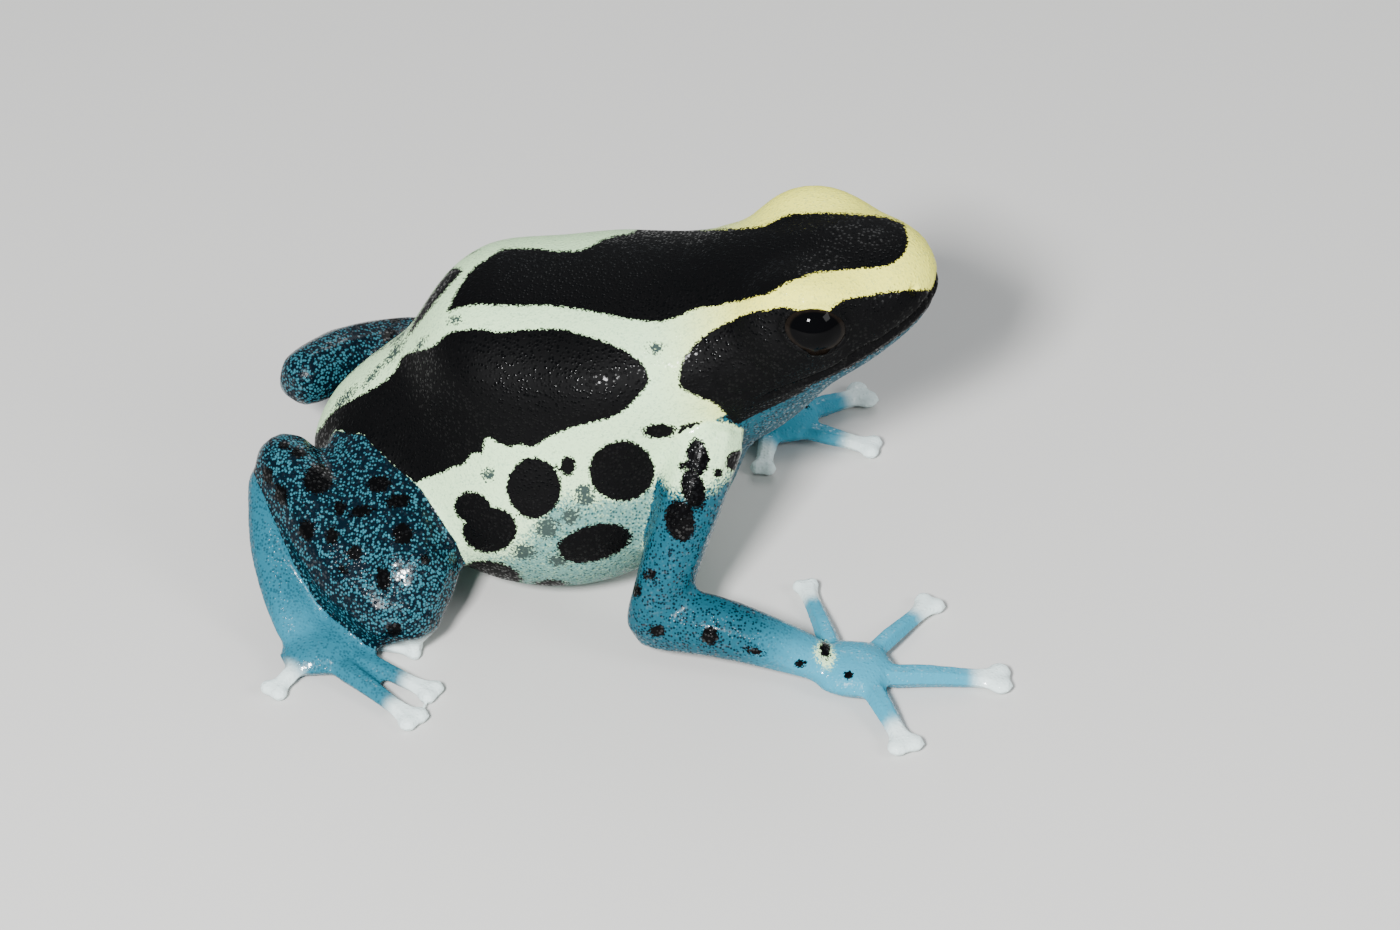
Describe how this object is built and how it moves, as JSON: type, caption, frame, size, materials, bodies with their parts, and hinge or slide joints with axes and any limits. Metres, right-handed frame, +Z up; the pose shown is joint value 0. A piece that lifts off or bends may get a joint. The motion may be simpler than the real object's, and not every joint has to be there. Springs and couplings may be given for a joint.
{
  "type": "dyeing poison dart frog",
  "caption": "Life-size still model of a dyeing poison dart frog sitting high on its front legs, hind legs folded, head up, toes spread flat on the floor.",
  "frame": {"origin": "on the floor, under the middle of the frog's bounding box", "axes": "+X forward along the frog's body, +Y to its left, +Z up"},
  "size_m": [0.0509, 0.0426, 0.0262],
  "materials": {
    "striped_skin": "wet, finely grained black skin with pale mint stripes that turn yellow on the head",
    "blue_skin": "wet turquoise-blue skin with a few black marks",
    "spotted_leg_skin": "wet navy skin speckled turquoise, with black spots",
    "pale_tip_skin": "smooth pale blue skin with whitish toe pads",
    "eye": "glossy black eyeball"
  },
  "bodies": {
    "root": {"torso": "striped_skin", "head": "striped_skin", "eye_right": "eye", "upper_arm_right": "blue_skin", "forearm_right": "blue_skin", "hand_right": "blue_skin", "finger_right_1": "pale_tip_skin", "finger_right_2": "pale_tip_skin", "finger_right_3": "pale_tip_skin", "finger_right_4": "pale_tip_skin", "thigh_right": "spotted_leg_skin", "shank_right": "spotted_leg_skin", "tarsus_right": "blue_skin", "foot_right": "blue_skin", "toe_right_1": "pale_tip_skin", "toe_right_2": "pale_tip_skin", "toe_right_3": "pale_tip_skin", "toe_right_4": "pale_tip_skin", "toe_right_5": "pale_tip_skin", "eye_left": "eye", "upper_arm_left": "blue_skin", "forearm_left": "blue_skin", "hand_left": "blue_skin", "finger_left_1": "pale_tip_skin", "finger_left_2": "pale_tip_skin", "finger_left_3": "pale_tip_skin", "finger_left_4": "pale_tip_skin", "thigh_left": "spotted_leg_skin", "shank_left": "spotted_leg_skin", "tarsus_left": "blue_skin", "foot_left": "blue_skin", "toe_left_1": "pale_tip_skin", "toe_left_2": "pale_tip_skin", "toe_left_3": "pale_tip_skin", "toe_left_4": "pale_tip_skin", "toe_left_5": "pale_tip_skin"}
  },
  "joints": []
}
